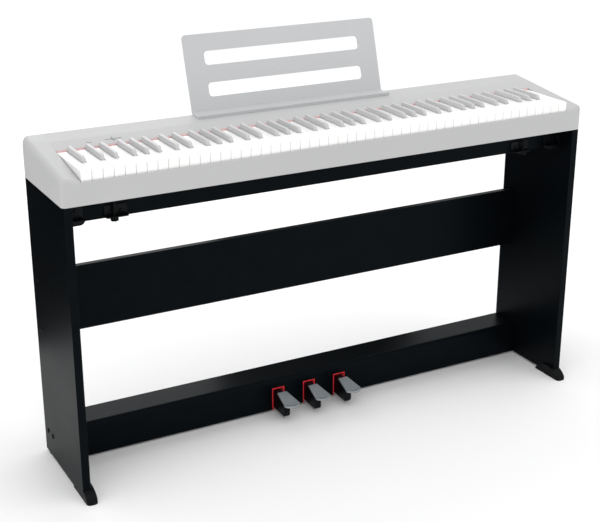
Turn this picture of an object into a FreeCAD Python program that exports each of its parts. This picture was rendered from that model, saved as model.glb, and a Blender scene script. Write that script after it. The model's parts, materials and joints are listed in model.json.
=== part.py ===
import FreeCAD, Part
import math
import os

# A digital piano with 88 keys on a four-board stand with three pedals.
# Millimetres. +X to the player's right, +Y to the back, +Z up. The parts are drawn with y = 0 at the
# middle of the piano's depth, and moved at the end so that the origin is the middle of the footprint.

# --- Piano body ---------------------------------------------------------------------------------
cheek_width = 44.0
rear_bay = 38.7
case_wall = 3.0
bottom_plate = 4.0
front_corner_radius = 10.0
rear_corner_radius = 14.0
front_below_keys = 7.5
rear_above_keys = 17.8
rear_edge_round = 12.0
front_edge_round = 8.0
cheek_inner_drop = 12.5
slip_thickness = 4.0
slip_edge_round = 1.4
end_gap = 1.5
vent_slot_width = 4.0
vent_slot_length = 18.0
vent_slot_pitch = 14.0
vent_slots_per_side = 7

# --- Keys ---------------------------------------------------------------------------------------
white_pitch = 23.5
white_count = 52
key_gap = 1.0
white_length = 148.5
white_top = 71.0
white_depth = 23.0
slip_overlap = 1.3
black_length = 97.0
black_width = 10.0
black_rise = 11.5
black_nose_slope = 7.0
black_side_gap = 1.3
key_edge_round = 0.8
black_edge_round = 1.3
black_nose_foot = 1.0
shank_step = 5.0
key_pivot_behind = 62.0
key_tail = 7.0
pivot_rod_radius = 2.0
running_clearance = 0.05
slip_to_key_gap = 1.2
key_dip_angle = 2.7
key_rest_gap = 0.5
keybed_rail_depth = 24.0
pivot_rail_half = 6.0
pivot_rail_gap = 1.0
keybed_end = 1.2
keybed_ear_rise = 5.0
sensor_from_key_front = 72.0
sensor_half_depth = 9.0
sensor_dome = 6.0
sensor_gap = 0.6
black_shift = {"c_sharp": -3.4, "d_sharp": 3.4, "f_sharp": -4.0, "g_sharp": 0.0, "a_sharp": 4.0}

# --- Top panel, felt and controls ----------------------------------------------------------------
key_to_fascia_gap = 4.0
felt_thickness = 2.5
felt_above_shank = 1.2
felt_below_lip = 0.8
fascia_rise = 3.5
fascia_lip = 5.0
crease_from_fascia = 40.0
button_radius = 5.0
button_proud = 1.4
button_stem = 8.0
button_round = 0.5
button_from_end = 80.0
control_clearance = 0.35
slider_from_button = 55.0
slider_travel = 30.0
slider_cap = (6.0, 12.0, 3.5)
slider_stem_width = 2.0
slider_stem_length = 7.0
slider_lift = 0.3
slider_round = 1.0
fascia_cut_reach = 10.0

# --- Electronics ---------------------------------------------------------------------------------
speaker_x = 430.0
speaker_half_length = 60.0
speaker_half_depth = 14.0
speaker_rim = 3.0
cone_half_length = 45.0
cone_half_depth = 11.0
cone_height = 11.0
cone_margin = 7.0
speaker_skin = 1.0
speaker_clearance = 2.0
magnet_radius = 11.0
magnet_height = 12.0
keys_to_electronics = 2.0
board_edge = 10.0
board_to_wall = 1.0
board_post_height = 10.0
board_post_radius = 3.0
board_post_x = (-340.0, -120.0)
circuit_board_thickness = 1.6
chip_x = (-160.0, -205.0, -250.0)
chip_side = 16.0
chip_height = 2.0
chip_from_edge = 3.0
jack_height = 26.0
jack_depth = 14.0
jack_floor = 3.0
jack_recess = 0.4
jacks = {"power_inlet": (-330.0, 4.5, 2.75), "usb_socket": (-280.0, 6.0, 3.6),
         "pedal_socket": (-230.0, 6.5, 4.6), "phones_socket": (-180.0, 5.5, 3.25)}

# --- Music rest ----------------------------------------------------------------------------------
rest_width = 500.0
rest_height = 177.0
rest_thickness = 3.0
rest_lean = 16.4
rest_ledge = 33.0
rest_from_rear = 8.5
rest_offset = -10.0
rest_corner_radius = 9.0
rest_slot_height = 31.8
rest_slot_margin = 48.5
rest_low_band = 34.4
rest_middle_band = 39.6
rest_slot_radius = 9.0
rest_peg_spacing = 360.0
rest_peg_depth = 9.0
rest_peg_length = 14.0
rest_peg_width = 4.0
rest_peg_clearance = 0.5
rest_peg_root = 1.0
rest_lip = 4.0
rest_gap = 0.2

# --- Stand ---------------------------------------------------------------------------------------
stand_height = 665.5
panel_thickness = 18.0
panel_overhang = 3.3
panel_inset = 2.1
panel_lift = 5.0
board_thickness = 15.5
back_board_height = 152.3
back_board_bottom = 304.0
back_board_inset = 27.1
rail_height = 55.5
rail_setback = 62.5
edge_ease = 0.8
pedal_box_height = 81.7
pedal_bay_depth = 50.5
pedal_box_round = 11.0
cleat_length = 40.0
cleat_height = 20.0
cleat_clearance = 4.0

# --- Feet, brackets and fasteners ------------------------------------------------------------------
foot_length = 95.0
foot_rise = 27.0
foot_toe = 27.5
foot_side = 7.0
foot_nose_radius = 9.0
glide_radius = 8.0
glide_from_rear = 22.0
glide_round = 1.0
foot_heel_radius = 2.0
bolt_head_radius = 6.0
bolt_head_height = 1.8
bolt_head_round = 0.8
bolt_socket_radius = 2.9
bolt_socket_depth = 1.5
bolt_shank_radius = 3.0
bolt_length = 45.0
bolt_from_board_edge = 17.0
box_bolt_spacing = 32.0
bracket_width = 40.0
bracket_depth = 20.0
bracket_height = 54.0
bracket_round = 12.0
bracket_wall = 4.0
bracket_floor = 10.0
bracket_below_top = 2.0
screw_head_radius = 4.5
screw_head_height = 2.6
screw_head_round = 1.2
screw_shank_radius = 1.8
screw_length = 10.0
corner_screw_below_top = 30.0
corner_screw_from_panel = 24.0
corner_screw_from_rail = 12.0
fixing_from_panel = 87.0
fixing_plate_width = 50.0
fixing_plate_height = 24.0
fixing_plate_thickness = 2.5
fixing_plate_from_rail_foot = 3.0
fixing_screw_spacing = 22.0
fixing_screw_share = 0.4
fixing_shelf = 17.0
knob_from_plate_middle = 6.0
fixing_shelf_round = 6.0
fixing_hole_clearance = 0.4
knob_radius = 8.5
knob_height = 7.5
knob_lobes = 6
knob_notch_radius = 2.2
knob_notch_past_rim = 0.7
knob_screw_root = 1.0
knob_gap = 0.3
fixing_screw_radius = 3.0

# --- Pedals --------------------------------------------------------------------------------------
pedal_pitch = 86.0
pedal_felt = 2.5
felt_proud = 1.0
lever_side_gap = 6.0
lever_top_gap = 1.3
lever_width = 16.0
lever_offset = -4.0
lever_bottom = 7.0
lever_toe_radius = 10.0
lever_nose_radius = 3.0
lever_waist_from_board = 3.0
lever_waist_run = 6.0
lever_heel_rise = 2.0
lever_waist_rise = 3.0
pedal_boss_clearance = 2.7
pedal_pivot_height = 50.0
pedal_boss_radius = 9.0
axle_radius = 4.0
axle_end = 3.0
plate_length = 67.0
plate_rear_width = 25.0
plate_front_width = 42.0
plate_thickness = 4.0
plate_overhang = 29.0
plate_from_box = 19.5
plate_toe_bulge = 11.0
plate_corner_radius = 5.0
plate_edge_round = 1.2
plate_groove_from_toe = 4.5
plate_groove_width = 1.4
plate_groove_depth = 0.9
plate_groove_reach = 6.0
plate_tilt = 9.2
spring_coil_radius = 6.5
spring_wire_radius = 0.9
spring_turns = 6
spring_from_pivot = 18.0
frame_wall = 3.0
frame_gap = 1.0
ear_ahead_of_pivot = 22.0
sensor_board_above_lever = 7.0
sensor_half_width = 5.0
sensor_length = 8.0
sensor_height = 4.0
sensor_from_edge = 2.0
pedal_socket_x = 190.0
pedal_socket_radius = 8.0
pedal_socket_bore = 4.6
pedal_socket_bore_depth = 9.0
pedal_socket_inside = 6.0

# --- Modelling allowances ---------------------------------------------------------------------------
# A cutting shape runs cut_past beyond the face it cuts; an edge is picked by its place to pick_slack.
cut_past = 1.0
pick_slack = 0.1

# --- Values worked out from the ones above ---------------------------------------------------------
keyboard_width = white_count * white_pitch
body_width = keyboard_width + 2 * cheek_width
body_depth = slip_thickness + slip_to_key_gap + white_length + key_pivot_behind + key_tail + rear_bay
front_y = -body_depth / 2
rear_y = body_depth / 2
top_front_height = white_top - front_below_keys
top_rear_height = white_top + rear_above_keys
key_bottom = white_top - white_depth
shank_top = white_top - shank_step
pivot_height = (key_bottom + shank_top) / 2
slip_height = key_bottom + slip_overlap
fascia_height = white_top + fascia_rise
key_front_y = front_y + slip_thickness + slip_to_key_gap
key_rear_y = key_front_y + white_length
pivot_y = key_rear_y + key_pivot_behind
fascia_y = key_rear_y + key_to_fascia_gap
crease_y = fascia_y + crease_from_fascia
cheek_inner_x = keyboard_width / 2 + end_gap
half_body = body_width / 2
panel_outer_x = half_body - panel_overhang
panel_inner_x = panel_outer_x - panel_thickness
panel_front_y = front_y + panel_inset
panel_rear_y = rear_y - panel_inset
pedal_box_depth = pedal_bay_depth + 2 * board_thickness
box_front_y = panel_rear_y - pedal_box_depth
box_top = panel_lift + pedal_box_height
box_underside = box_top - board_thickness
box_middle_y = (box_front_y + panel_rear_y) / 2
back_board_rear_y = panel_rear_y - back_board_inset
back_board_front_y = back_board_rear_y - board_thickness
rail_front_y = panel_front_y + rail_setback
pedal_pivot_y = panel_rear_y - board_thickness - frame_wall - pedal_boss_clearance - pedal_boss_radius
pedal_names = ("soft", "sostenuto", "damper")
pedal_socket_z = panel_lift + (pedal_box_height - board_thickness) / 2
plate_rear_y = box_front_y - plate_from_box
sensor_board_z = pedal_pivot_height + pedal_boss_radius + sensor_board_above_lever
black_half_gap = black_width / 2 + black_side_gap
rest_slot_steps = (rest_low_band, rest_low_band + rest_slot_height + rest_middle_band)
lever_top = pedal_pivot_height + pedal_boss_radius
lever_waist = pedal_pivot_height - pedal_boss_radius
opening_width = lever_width + 2 * (lever_side_gap + pedal_felt)
opening_top = lever_top + lever_top_gap + pedal_felt
fascia_foot = fascia_height - fascia_lip
button_x = -cheek_inner_x + button_from_end
slider_x = button_x + slider_from_button
electronics_y = pivot_y + key_tail + keys_to_electronics
speaker_y = electronics_y + speaker_half_depth + speaker_clearance
main_board_height = bottom_plate + board_post_height
main_board_top = main_board_height + circuit_board_thickness
fixing_plate_x = panel_inner_x - fixing_from_panel - fixing_plate_width / 2
fixing_x = fixing_plate_x + knob_from_plate_middle
fixing_y = rail_front_y - fixing_shelf / 2 - fixing_plate_thickness / 2
fixing_low = stand_height - rail_height + fixing_plate_from_rail_foot
rest_foot_y = rear_y - rest_from_rear
arc_corner = 1 - math.sqrt(0.5)

shapes = {}


def point(x, y, z):
    return FreeCAD.Vector(x, y, z)


def origin():
    return point(0, 0, 0)


def box(x0, x1, y0, y1, z0, z1):
    return Part.makeBox(x1 - x0, y1 - y0, z1 - z0, point(x0, y0, z0))


def rod(radius, start, direction, length):
    return Part.makeCylinder(radius, length, point(*start), point(*direction))


def eased_board(x0, x1, y0, y1, z0, z1):
    board = box(x0, x1, y0, y1, z0, z1)
    return board.makeFillet(edge_ease, board.Edges)


def mirrored(shape):
    return shape.mirror(origin(), point(1, 0, 0))


def group(solids):
    return Part.makeCompound(solids)


def side_face(corners, x):
    """A flat face in the plane at x, from (y, z) corners in order."""
    path = [point(x, y, z) for y, z in corners]
    return Part.Face(Part.makePolygon(path + path[:1]))


def side_prism(corners, x0, x1):
    return side_face(corners, x0).extrude(point(x1 - x0, 0, 0))


def rounded_outline(x0, x1, y0, y1, front_radius, rear_radius, z0, z1):
    """A block with rounded upright edges: one radius at its front, another at its rear."""
    block = box(x0, x1, y0, y1, z0, z1)
    for y, radius in ((y0, front_radius), (y1, rear_radius)):
        upright = [e for e in block.Edges
                   if abs(e.BoundBox.YMin - y) < pick_slack and abs(e.BoundBox.YMax - y) < pick_slack
                   and e.BoundBox.ZLength > (z1 - z0) / 2]
        block = block.makeFillet(radius, upright)
    return block


def top_line(y):
    """Height of the body's straight top line at y."""
    run = (rear_y - rear_edge_round) - (front_y + front_edge_round)
    return top_front_height + (top_rear_height - top_front_height) * (y - front_y - front_edge_round) / run


# --- Piano case ------------------------------------------------------------------------------------
def cheek_section(x, drop):
    """Side outline of an end cheek, its top lowered by drop beside the keys."""
    rear_flat = rear_y - rear_edge_round
    rear_low = top_rear_height - rear_edge_round
    nose_y = front_y + front_edge_round
    nose_top = top_line(nose_y) - drop
    bend = rear_edge_round * arc_corner
    nose_bend = front_edge_round * arc_corner
    fascia_top = fascia_height if drop else top_line(fascia_y)
    corners = [(rear_flat, top_rear_height), (crease_y, top_line(crease_y)), (fascia_y, fascia_top),
               (nose_y, nose_top)]
    lines = [Part.LineSegment(point(x, *a), point(x, *b)) for a, b in zip(corners, corners[1:])]
    lines.append(Part.Arc(point(x, nose_y, nose_top), point(x, front_y + nose_bend, nose_top - nose_bend),
                          point(x, front_y, nose_top - front_edge_round)))
    lower = [(front_y, nose_top - front_edge_round), (front_y, bottom_plate), (rear_y, bottom_plate),
             (rear_y, rear_low)]
    lines += [Part.LineSegment(point(x, *a), point(x, *b)) for a, b in zip(lower, lower[1:])]
    lines.append(Part.Arc(point(x, rear_y, rear_low), point(x, rear_y - bend, top_rear_height - bend),
                          point(x, rear_flat, top_rear_height)))
    return Part.Wire([line.toShape() for line in lines])


def body_outline(z0, z1):
    return rounded_outline(-half_body, half_body, front_y, rear_y,
                           front_corner_radius, rear_corner_radius, z0, z1)


def make_right_cheek():
    ends = [cheek_section(cheek_inner_x, cheek_inner_drop), cheek_section(half_body, 0)]
    block = Part.makeLoft(ends, True, True)
    return block.common(body_outline(0, top_rear_height + cut_past))


def make_bottom_case():
    """Flat bottom plate, slotted under the speakers, with a hole for each fixing screw."""
    plate = body_outline(0, bottom_plate)
    half_slot, half_length = vent_slot_width / 2, vent_slot_length / 2
    for side in (-1, 1):
        for n in range(vent_slots_per_side):
            middle = side * speaker_x + (n - (vent_slots_per_side - 1) / 2) * vent_slot_pitch
            plate = plate.cut(box(middle - half_slot, middle + half_slot, speaker_y - half_length,
                                  speaker_y + half_length, -cut_past, bottom_plate + cut_past))
        plate = plate.cut(rod(fixing_screw_radius + running_clearance,
                              (side * fixing_x, fixing_y, -cut_past), (0, 0, 1),
                              bottom_plate + 2 * cut_past))
    return plate


def make_rear_cover():
    """Upright wall between the cheeks, bored for the jacks."""
    wall_top = top_rear_height - rear_edge_round - case_wall
    wall = box(-cheek_inner_x, cheek_inner_x, rear_y - case_wall, rear_y, bottom_plate, wall_top)
    for x, radius, _ in jacks.values():
        wall = wall.cut(rod(radius, (x, rear_y - case_wall - cut_past, jack_height), (0, 1, 0),
                            case_wall + 2 * cut_past))
    return wall


def top_panel_section(inset, foot, x):
    """Side outline of the top panel, or of its inside when inset by the wall and deepened by foot."""
    rear_flat = rear_y - rear_edge_round
    low = top_rear_height - rear_edge_round
    skirt = low - case_wall - foot
    bend = (rear_edge_round - inset) * arc_corner
    front, rear = fascia_y + inset, rear_y - inset
    crest = top_rear_height - inset
    before = [(front, fascia_foot - foot), (front, fascia_height - inset),
              (crease_y, top_line(crease_y) - inset), (rear_flat, crest)]
    after = [(rear, low), (rear, skirt), (rear_y - case_wall - foot, skirt),
             (fascia_y + case_wall + foot, fascia_foot - foot), before[0]]
    edges = [Part.LineSegment(point(x, *a), point(x, *b)).toShape() for a, b in zip(before, before[1:])]
    arc = Part.Arc(point(x, rear_flat, crest), point(x, rear - bend, crest - bend), point(x, rear, low))
    edges.append(arc.toShape())
    edges += [Part.LineSegment(point(x, *a), point(x, *b)).toShape() for a, b in zip(after, after[1:])]
    return Part.Face(Part.Wire(edges))


def make_top_panel():
    """A bent cover between the cheeks: upright lip, sloped fascia, top and rounded rear edge."""
    length = point(2 * cheek_inner_x, 0, 0)
    outer = top_panel_section(0, 0, -cheek_inner_x).extrude(length)
    inner = top_panel_section(case_wall, cut_past, -cheek_inner_x).extrude(length)
    panel = outer.cut(inner)
    for x in rest_peg_places():
        panel = panel.cut(rest_peg(x, rest_peg_clearance))
    reach = fascia_cut_reach
    hole = Part.makeCylinder(button_radius + control_clearance, 2 * reach, point(0, 0, -reach))
    panel = panel.cut(on_fascia(hole, button_x))
    half_slot = (slider_travel + slider_cap[0]) / 2 + control_clearance
    half_width = slider_stem_width / 2 + control_clearance
    slot = box(-half_slot, half_slot, -half_width, half_width, -reach, reach)
    return panel.cut(on_fascia(slot, slider_x))


def on_fascia(shape, x):
    """Turns a shape drawn upright at the origin to stand on the middle of the sloped fascia."""
    slope = math.degrees(math.atan2(top_line(crease_y) - fascia_height, crease_from_fascia))
    shape.rotate(origin(), point(1, 0, 0), slope)
    shape.translate(point(x, (fascia_y + crease_y) / 2, (fascia_height + top_line(crease_y)) / 2))
    return shape


def make_key_slip():
    slip = box(-cheek_inner_x, cheek_inner_x, front_y, front_y + slip_thickness, bottom_plate, slip_height)
    top_edges = [e for e in slip.Edges if e.BoundBox.XLength > slip_thickness
                 and e.BoundBox.ZMin > slip_height - pick_slack]
    return slip.makeFillet(slip_edge_round, top_edges)


def make_key_felt():
    return box(-keyboard_width / 2, keyboard_width / 2, fascia_y - felt_thickness, fascia_y,
               shank_top + felt_above_shank, fascia_height - felt_below_lip)


# --- Keyboard --------------------------------------------------------------------------------------
white_notes = ("c", "d", "e", "f", "g", "a", "b")
first_note = 5
middle_octave_start = 23
octave_whites = 7


def white_name(index):
    return white_notes[(index + first_note) % octave_whites]


def left_edge_x(index):
    return -keyboard_width / 2 + index * white_pitch


def black_x(index):
    """Middle of the black key between white key index and the next one, or None."""
    name = white_name(index) + "_sharp"
    if name not in black_shift or index == white_count - 1:
        return None
    return left_edge_x(index + 1) + black_shift[name]


def pivot_hole(x0, x1):
    return rod(pivot_rod_radius + running_clearance, (x0 - cut_past, pivot_y, pivot_height), (1, 0, 0),
               x1 - x0 + 2 * cut_past)


def make_white_key(index):
    x0 = left_edge_x(index) + key_gap / 2
    x1 = left_edge_x(index + 1) - key_gap / 2
    head = box(x0, x1, key_front_y, key_rear_y, key_bottom, white_top)
    rim = [e for e in head.Edges if e.BoundBox.ZMin > white_top - pick_slack
           and e.BoundBox.YMin < key_rear_y - pick_slack]
    key = head.makeFillet(key_edge_round, rim)
    key = key.fuse(box(x0, x1, key_rear_y, pivot_y + key_tail, key_bottom, shank_top)).removeSplitter()
    notch_y = key_rear_y - black_length - black_side_gap
    for middle, side in ((black_x(index - 1) if index else None, -1), (black_x(index), 1)):
        if middle is None:
            continue
        edge = middle - side * black_half_gap
        lo, hi = (x0 - cut_past, edge) if side < 0 else (edge, x1 + cut_past)
        key = key.cut(box(lo, hi, notch_y, pivot_y + key_tail + cut_past, key_bottom - cut_past,
                          white_top + cut_past))
    return key.cut(pivot_hole(x0, x1))


def make_black_key(middle):
    x0 = middle - black_width / 2
    front = key_rear_y - black_length
    top = white_top + black_rise
    tail = pivot_y + key_tail
    outline = [(front, key_bottom), (front, white_top - black_nose_foot), (front + black_nose_slope, top),
               (key_rear_y, top), (key_rear_y, shank_top), (tail, shank_top), (tail, key_bottom)]
    key = side_prism(outline, x0, x0 + black_width)
    crown = [e for e in key.Edges if e.BoundBox.ZMax > top - pick_slack
             and e.BoundBox.YMin < key_rear_y - pick_slack]
    key = key.makeFillet(black_edge_round, crown)
    return key.cut(pivot_hole(x0, x0 + black_width))


def make_keyboard():
    """The middle octave's keys are nodes of their own, the rest four groups."""
    low_white, high_white, low_black, high_black = [], [], [], []
    middle_end = middle_octave_start + octave_whites
    for index in range(white_count):
        key = make_white_key(index)
        middle = black_x(index)
        sharp = make_black_key(middle) if middle is not None else None
        if middle_octave_start <= index < middle_end:
            shapes["key_" + white_name(index)] = key
            if sharp:
                shapes["key_" + white_name(index) + "_sharp"] = sharp
            continue
        whites, blacks = (low_white, low_black) if index < middle_octave_start else (high_white, high_black)
        whites.append(key)
        if sharp:
            blacks.append(sharp)
    shapes["low_white_keys"] = group(low_white)
    shapes["high_white_keys"] = group(high_white)
    shapes["low_black_keys"] = group(low_black)
    shapes["high_black_keys"] = group(high_black)


def dip_drop(from_pivot):
    """How far a pressed key falls at a distance in front of its pivot."""
    return math.sin(math.radians(key_dip_angle)) * from_pivot


def make_keybed():
    """Moulded tray with a front rail that stops the keys and a pivot rail that holds their rod."""
    half = keyboard_width / 2
    rest_top = key_bottom - dip_drop(pivot_y - key_front_y) - key_rest_gap
    rail_front, rail_rear = pivot_y - pivot_rail_half, pivot_y + pivot_rail_half
    tray = box(-half, half, key_front_y, pivot_y + key_tail, bottom_plate, bottom_plate + case_wall)
    front_rail = box(-half, half, key_front_y, key_front_y + keybed_rail_depth, bottom_plate, rest_top)
    pivot_rail = box(-half, half, rail_front, rail_rear, bottom_plate, key_bottom - pivot_rail_gap)
    bed = tray.fuse([front_rail, pivot_rail])
    for side in (-1, 1):
        x0, x1 = sorted((side * half, side * (half + keybed_end)))
        bed = bed.fuse(box(x0, x1, rail_front, rail_rear, bottom_plate, pivot_height + keybed_ear_rise))
    bed = bed.removeSplitter()
    reach = half + keybed_end + cut_past
    return bed.cut(rod(pivot_rod_radius, (-reach, pivot_y, pivot_height), (1, 0, 0), 2 * reach))


def make_key_pivot_rod():
    half = keyboard_width / 2 + keybed_end
    return rod(pivot_rod_radius, (-half, pivot_y, pivot_height), (1, 0, 0), 2 * half)


def make_contact_strip():
    """Sensor rail under the keys, with a rubber dome row along its top."""
    half = keyboard_width / 2
    y = key_front_y + sensor_from_key_front
    y0, y1 = y - sensor_half_depth, y + sensor_half_depth
    top = key_bottom - dip_drop(pivot_y - y0) - sensor_gap
    web = box(-half, half, y0, y1, bottom_plate + case_wall, top - sensor_dome)
    dome = rod(sensor_dome, (-half, y, top - sensor_dome), (1, 0, 0), 2 * half)
    return web.fuse(dome.common(box(-half, half, y0, y1, top - sensor_dome, top))).removeSplitter()


# --- Electronics -----------------------------------------------------------------------------------
def make_speakers():
    """Slim drivers over the slots in the bottom plate, one at each end."""
    solids = []
    rim_top = bottom_plate + speaker_rim
    cone_top = rim_top + cone_height
    well = vent_slot_length / 2 + speaker_skin
    half_well = cone_half_length + cone_margin
    for side in (-1, 1):
        x = side * speaker_x
        frame = box(x - speaker_half_length, x + speaker_half_length, speaker_y - speaker_half_depth,
                    speaker_y + speaker_half_depth, bottom_plate, rim_top)
        frame = frame.cut(box(x - half_well, x + half_well, speaker_y - well, speaker_y + well,
                              bottom_plate - cut_past, rim_top - speaker_skin))
        cone = box(x - cone_half_length, x + cone_half_length, speaker_y - cone_half_depth,
                   speaker_y + cone_half_depth, rim_top, cone_top)
        magnet = rod(magnet_radius, (x, speaker_y, cone_top), (0, 0, 1), magnet_height)
        solids.append(frame.fuse([cone, magnet]).removeSplitter())
    return group(solids)


def make_main_board():
    """Circuit board with three chips, on two round spacers that stand on the bottom plate."""
    left, right = board_post_x[0] - board_edge, board_post_x[1] + board_edge
    board = box(left, right, electronics_y, rear_y - case_wall - board_to_wall, main_board_height,
                main_board_top)
    chip_y = electronics_y + chip_from_edge
    chips = [box(x, x + chip_side, chip_y, chip_y + chip_side, main_board_top,
                 main_board_top + chip_height) for x in chip_x]
    spacers = [rod(board_post_radius, (x, electronics_y + 2 * board_post_radius, bottom_plate), (0, 0, 1),
                   board_post_height) for x in board_post_x]
    return group([board.fuse(chips).removeSplitter()] + spacers)


def make_rear_jacks():
    """Barrels that show through the rear cover, each on a foot that stands on the main board."""
    solids = []
    front = rear_y - jack_depth
    for x, radius, bore in jacks.values():
        barrel = rod(radius, (x, front, jack_height), (0, 1, 0), jack_depth - jack_recess)
        foot = box(x - radius, x + radius, front, rear_y - case_wall - board_to_wall, main_board_top,
                   jack_height)
        jack = barrel.fuse(foot).removeSplitter()
        solids.append(jack.cut(rod(bore, (x, front + jack_floor, jack_height), (0, 1, 0), jack_depth)))
    return group(solids)


def make_power_button():
    button = Part.makeCylinder(button_radius, button_stem + button_proud, point(0, 0, -button_stem))
    rim = [e for e in button.Edges if e.BoundBox.ZMin > button_proud - pick_slack]
    return on_fascia(button.makeFillet(button_round, rim), button_x)


def make_volume_slider():
    length, width, height = slider_cap
    top = slider_lift + height
    cap = box(-length / 2, length / 2, -width / 2, width / 2, slider_lift, top)
    cap = cap.makeFillet(slider_round, [e for e in cap.Edges if e.BoundBox.ZMax > top - pick_slack])
    half_stem = slider_stem_width / 2
    stem = box(-length / 2, length / 2, -half_stem, half_stem, -slider_stem_length, top / 2)
    return on_fascia(cap.fuse(stem).removeSplitter(), slider_x)


# --- Music rest ------------------------------------------------------------------------------------
def ledge_slope():
    rise = top_rear_height - top_line(crease_y)
    return math.degrees(math.atan2(rise, rear_y - rear_edge_round - crease_y))


def rest_peg_places():
    return (rest_offset - rest_peg_spacing / 2, rest_offset + rest_peg_spacing / 2)


def rest_peg(x, clearance):
    y = rest_foot_y - rest_ledge / 2
    half_length = rest_peg_length / 2 + clearance
    half_width = rest_peg_width / 2 + clearance
    return box(x - half_length, x + half_length, y - half_width, y + half_width,
               top_line(y) - rest_peg_depth, top_line(y) + rest_peg_root)


def make_music_rest():
    """A leaning sheet with two long slots, a ledge that lies on the top panel, and two pegs."""
    half = rest_width / 2
    sheet = box(-half, half, 0, rest_thickness, 0, rest_height)
    corners = [e for e in sheet.Edges if e.BoundBox.YLength > pick_slack and e.BoundBox.ZMin > pick_slack]
    sheet = sheet.makeFillet(rest_corner_radius, corners)
    slot_half = half - rest_slot_margin
    for low in rest_slot_steps:
        slot = box(-slot_half, slot_half, -cut_past, rest_thickness + cut_past, low, low + rest_slot_height)
        ends = [e for e in slot.Edges if e.BoundBox.YLength > rest_thickness]
        sheet = sheet.cut(slot.makeFillet(rest_slot_radius, ends))
    sheet.rotate(origin(), point(1, 0, 0), -rest_lean)
    ledge = box(-half, half, -rest_ledge, rest_thickness, 0, rest_thickness)
    lip = box(-half, half, -rest_ledge - rest_thickness, -rest_ledge, 0, rest_thickness + rest_lip)
    ledge = ledge.fuse(lip)
    ledge.rotate(origin(), point(1, 0, 0), ledge_slope())
    rest = sheet.fuse(ledge)
    rest.translate(point(rest_offset, rest_foot_y, top_line(rest_foot_y) + rest_gap))
    for x in rest_peg_places():
        rest = rest.fuse(rest_peg(x, 0))
    return rest.removeSplitter()


# --- Stand -----------------------------------------------------------------------------------------
def foot_profile_radius():
    return foot_length ** 2 / (8 * foot_rise) + foot_rise / 2


def make_right_foot():
    """A moulded shoe: a low dome from the side, its toe rounded in plan, slotted for the panel."""
    toe_y = panel_front_y - foot_toe
    radius = foot_profile_radius()
    dome = rod(radius, (panel_inner_x - foot_side, toe_y + foot_length / 2, foot_rise - radius), (1, 0, 0),
               panel_thickness + foot_side)
    outline = rounded_outline(panel_inner_x - foot_side, panel_outer_x, toe_y, toe_y + foot_length,
                              foot_nose_radius, foot_heel_radius, 0, foot_rise)
    slot = box(panel_inner_x, panel_outer_x + cut_past, panel_front_y, toe_y + foot_length + cut_past,
               panel_lift, foot_rise + cut_past)
    return dome.common(outline).cut(slot)


def make_rear_glides():
    """One short round pad under each side panel, near its rear."""
    y = panel_rear_y - glide_from_rear
    x = panel_inner_x + panel_thickness / 2
    pads = [rod(glide_radius, (side * x, y, 0), (0, 0, 1), panel_lift) for side in (-1, 1)]
    return [pad.makeFillet(glide_round, [e for e in pad.Edges if e.BoundBox.ZMax < pick_slack])
            for pad in pads]


def make_stand_feet():
    shoe = make_right_foot()
    return group([shoe, mirrored(shoe)] + make_rear_glides())


def bolt_places():
    """(y, z) of each bolt through a side panel: two into the back board, two into the box's end cleat."""
    board_y = (back_board_front_y + back_board_rear_y) / 2
    high_z = back_board_bottom + back_board_height - bolt_from_board_edge
    low_z = back_board_bottom + bolt_from_board_edge
    cleat_z = box_underside - cleat_height / 2
    half = box_bolt_spacing / 2
    return ((board_y, high_z), (board_y, low_z), (box_middle_y - half, cleat_z),
            (box_middle_y + half, cleat_z))


def bolt_body(y, z):
    shank = rod(bolt_shank_radius, (panel_outer_x - bolt_length, y, z), (1, 0, 0), bolt_length)
    head = rod(bolt_head_radius, (panel_outer_x, y, z), (1, 0, 0), bolt_head_height)
    rim = [e for e in head.Edges if e.BoundBox.XMin > panel_outer_x + pick_slack]
    return shank.fuse(head.makeFillet(bolt_head_round, rim)).removeSplitter()


def make_bolt(y, z):
    """Button head with a hexagon socket, and a plain shank."""
    turns = [math.pi * n / 3 for n in range(6)]
    radius = bolt_socket_radius
    corners = [(y + radius * math.cos(turn), z + radius * math.sin(turn)) for turn in turns]
    x1 = panel_outer_x + bolt_head_height
    socket = side_prism(corners, x1 - bolt_socket_depth, x1 + cut_past)
    return bolt_body(y, z).cut(socket)


def bolt_holes(part):
    for y, z in bolt_places():
        bolt = bolt_body(y, z)
        part = part.cut(bolt)
        part = part.cut(mirrored(bolt))
    return part


def make_panel_bolts():
    bolts = [make_bolt(y, z) for y, z in bolt_places()]
    return group(bolts + [mirrored(bolt) for bolt in bolts])


def make_right_panel():
    return eased_board(panel_inner_x, panel_outer_x, panel_front_y, panel_rear_y, panel_lift, stand_height)


def make_back_board():
    return eased_board(-panel_inner_x, panel_inner_x, back_board_front_y, back_board_rear_y,
                       back_board_bottom, back_board_bottom + back_board_height)


def make_upper_rail():
    return eased_board(-panel_inner_x, panel_inner_x, rail_front_y, rail_front_y + board_thickness,
                       stand_height - rail_height, stand_height)


def make_pedal_box_top():
    """Lid board with a rounded front edge, and a cleat glued under each end to take the bolts."""
    top = box(-panel_inner_x, panel_inner_x, box_front_y, panel_rear_y, box_underside, box_top)
    front_edge = [e for e in top.Edges if e.BoundBox.ZMin > box_top - pick_slack
                  and e.BoundBox.YMax < box_front_y + pick_slack]
    top = top.makeFillet(pedal_box_round, front_edge)
    inset = board_thickness + cleat_clearance
    for side in (-1, 1):
        x0, x1 = sorted((side * (panel_inner_x - cleat_length), side * panel_inner_x))
        top = top.fuse(box(x0, x1, box_front_y + inset, panel_rear_y - inset, box_underside - cleat_height,
                           box_underside))
    return top.removeSplitter()


def pedal_x(number):
    return (number - 1) * pedal_pitch


def opening_arch(number, shrink, y0, y1):
    x = pedal_x(number)
    half = opening_width / 2 - shrink
    return box(x - half, x + half, y0, y1, panel_lift - cut_past, opening_top - shrink)


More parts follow.
